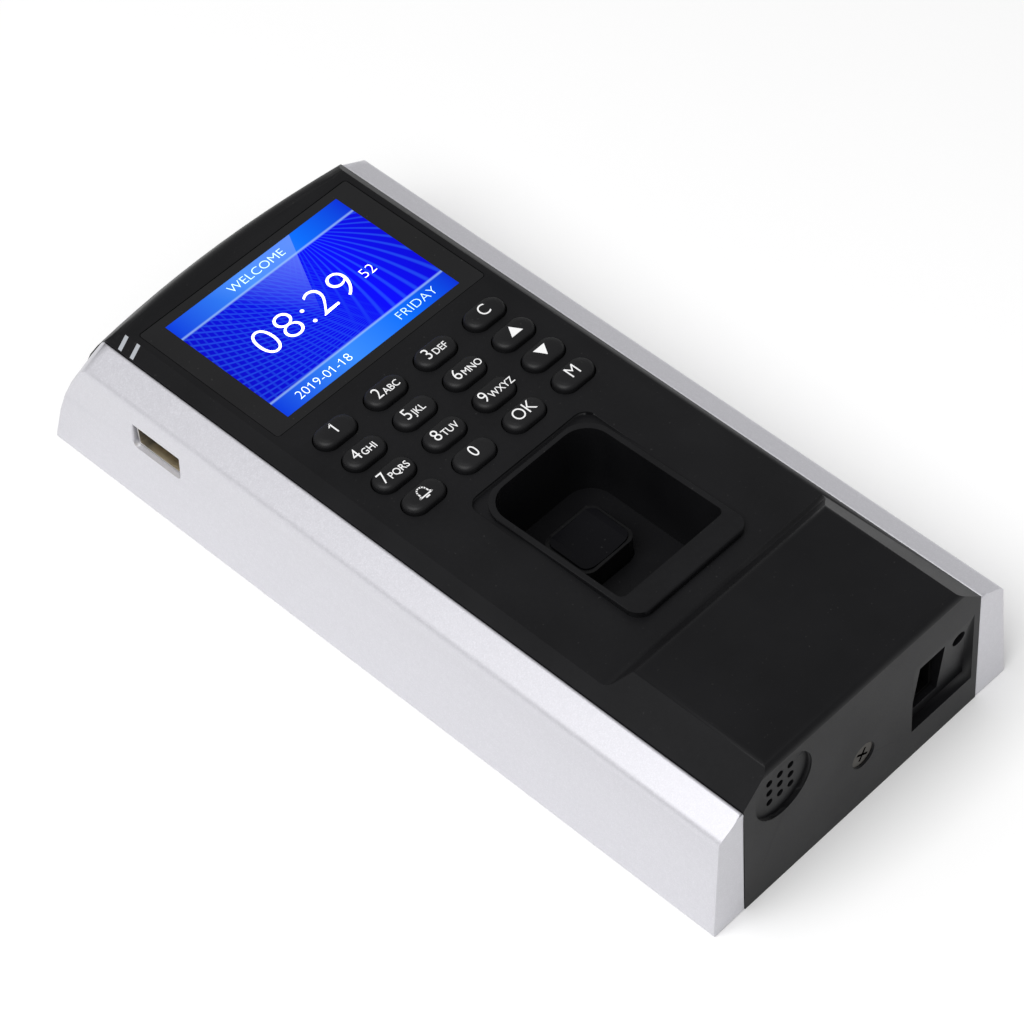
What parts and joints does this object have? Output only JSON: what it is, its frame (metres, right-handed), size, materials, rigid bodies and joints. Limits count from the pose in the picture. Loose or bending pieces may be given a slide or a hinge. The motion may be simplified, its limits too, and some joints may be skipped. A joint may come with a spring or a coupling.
{
  "type": "fingerprint scanner terminal",
  "caption": "Wall terminal with a colour display, a pad of sprung keys, a recessed finger scanner and silver side rails.",
  "frame": {"origin": "bottom centre of the bounding box, on the back face that lies on the table or against the wall", "axes": "+Z out of the front face, +Y towards the display end, +X to the right when the display end is up"},
  "size_m": [0.0854, 0.1922, 0.0388],
  "materials": {
    "black_shell": "fine matt texture",
    "black_cover": "matt",
    "silver_rail": "pearl silver paint",
    "window": "gloss",
    "foam": "closed-cell foam",
    "lcd_metal": "bright",
    "lcd_glass": "glass, lit blue",
    "carrier": "matt",
    "ribbon": "amber film",
    "silicone": "silicone",
    "key": "soft matt",
    "board": "solder mask",
    "chip": "moulded",
    "relay": "blue case",
    "black_plastic": "matt",
    "cell": "bright",
    "usb_metal": "bright",
    "usb_plastic": "cream",
    "contact": "gold plated",
    "speaker_metal": "bright",
    "cone": "paper",
    "bezel": "fine matt texture",
    "sensor_glass": "dark glass",
    "button": "matt",
    "light_pipe": "frosted",
    "header": "ivory nylon",
    "plate": "zinc plated",
    "black_screw": "black oxide",
    "screw": "zinc plated"
  },
  "bodies": {
    "terminal": {"front_housing": "black_shell", "rear_cover": "black_cover", "left_rail": "silver_rail", "right_rail": "silver_rail", "display_window": "window", "display_gasket": "foam", "lcd_frame": "lcd_metal", "lcd_panel": "lcd_glass", "lcd_carrier": "carrier", "lcd_ribbon": "ribbon", "keypad_mat": "silicone", "keypad_board": "board", "keypad_ribbon": "ribbon", "main_board": "board", "processor_chip": "chip", "board_chips": "chip", "door_relay": "relay", "coin_cell_holder": "black_plastic", "coin_cell": "cell", "usb_shell": "usb_metal", "usb_tongue": "usb_plastic", "usb_contacts": "contact", "speaker_frame": "speaker_metal", "speaker_cone": "cone", "scanner_bezel": "bezel", "sensor_body": "black_plastic", "sensor_window": "sensor_glass", "sensor_board": "board", "sensor_lens": "black_plastic", "sensor_ribbon": "ribbon", "port_board": "board", "power_socket": "black_plastic", "connector_pins": "contact", "reset_switch": "black_plastic", "tamper_switch": "black_plastic", "light_pipes": "light_pipe", "wiring_headers": "header", "wall_plate": "plate", "lock_screw": "black_screw", "case_screws": "screw", "small_screws": "screw"},
    "key_1_body": {"key_1": "key"},
    "key_2_body": {"key_2": "key"},
    "key_3_body": {"key_3": "key"},
    "key_c_body": {"key_c": "key"},
    "key_4_body": {"key_4": "key"},
    "key_5_body": {"key_5": "key"},
    "key_6_body": {"key_6": "key"},
    "key_up_body": {"key_up": "key"},
    "key_7_body": {"key_7": "key"},
    "key_8_body": {"key_8": "key"},
    "key_9_body": {"key_9": "key"},
    "key_down_body": {"key_down": "key"},
    "key_bell_body": {"key_bell": "key"},
    "key_0_body": {"key_0": "key"},
    "key_ok_body": {"key_ok": "key"},
    "key_m_body": {"key_m": "key"},
    "reset_button_body": {"reset_button": "button"},
    "tamper_plunger_body": {"tamper_plunger": "button"}
  },
  "joints": [
    {"name": "key_1_press", "type": "slide", "parent": "terminal", "child": "key_1_body", "axis": [0, 0, -1], "range_m": [0, 0.0008], "stiffness_N_per_m": 900},
    {"name": "key_2_press", "type": "slide", "parent": "terminal", "child": "key_2_body", "axis": [0, 0, -1], "range_m": [0, 0.0008], "stiffness_N_per_m": 900},
    {"name": "key_3_press", "type": "slide", "parent": "terminal", "child": "key_3_body", "axis": [0, 0, -1], "range_m": [0, 0.0008], "stiffness_N_per_m": 900},
    {"name": "key_c_press", "type": "slide", "parent": "terminal", "child": "key_c_body", "axis": [0, 0, -1], "range_m": [0, 0.0008], "stiffness_N_per_m": 900},
    {"name": "key_4_press", "type": "slide", "parent": "terminal", "child": "key_4_body", "axis": [0, 0, -1], "range_m": [0, 0.0008], "stiffness_N_per_m": 900},
    {"name": "key_5_press", "type": "slide", "parent": "terminal", "child": "key_5_body", "axis": [0, 0, -1], "range_m": [0, 0.0008], "stiffness_N_per_m": 900},
    {"name": "key_6_press", "type": "slide", "parent": "terminal", "child": "key_6_body", "axis": [0, 0, -1], "range_m": [0, 0.0008], "stiffness_N_per_m": 900},
    {"name": "key_up_press", "type": "slide", "parent": "terminal", "child": "key_up_body", "axis": [0, 0, -1], "range_m": [0, 0.0008], "stiffness_N_per_m": 900},
    {"name": "key_7_press", "type": "slide", "parent": "terminal", "child": "key_7_body", "axis": [0, 0, -1], "range_m": [0, 0.0008], "stiffness_N_per_m": 900},
    {"name": "key_8_press", "type": "slide", "parent": "terminal", "child": "key_8_body", "axis": [0, 0, -1], "range_m": [0, 0.0008], "stiffness_N_per_m": 900},
    {"name": "key_9_press", "type": "slide", "parent": "terminal", "child": "key_9_body", "axis": [0, 0, -1], "range_m": [0, 0.0008], "stiffness_N_per_m": 900},
    {"name": "key_down_press", "type": "slide", "parent": "terminal", "child": "key_down_body", "axis": [0, 0, -1], "range_m": [0, 0.0008], "stiffness_N_per_m": 900},
    {"name": "key_bell_press", "type": "slide", "parent": "terminal", "child": "key_bell_body", "axis": [0, 0, -1], "range_m": [0, 0.0008], "stiffness_N_per_m": 900},
    {"name": "key_0_press", "type": "slide", "parent": "terminal", "child": "key_0_body", "axis": [0, 0, -1], "range_m": [0, 0.0008], "stiffness_N_per_m": 900},
    {"name": "key_ok_press", "type": "slide", "parent": "terminal", "child": "key_ok_body", "axis": [0, 0, -1], "range_m": [0, 0.0008], "stiffness_N_per_m": 900},
    {"name": "key_m_press", "type": "slide", "parent": "terminal", "child": "key_m_body", "axis": [0, 0, -1], "range_m": [0, 0.0008], "stiffness_N_per_m": 900},
    {"name": "reset_button_press", "type": "slide", "parent": "terminal", "child": "reset_button_body", "axis": [0, 1, 0], "range_m": [0, 0.00035], "stiffness_N_per_m": 1500},
    {"name": "tamper_plunger_press", "type": "slide", "parent": "terminal", "child": "tamper_plunger_body", "axis": [0, 0, 1], "range_m": [0, 0.0008], "stiffness_N_per_m": 300}
  ]
}
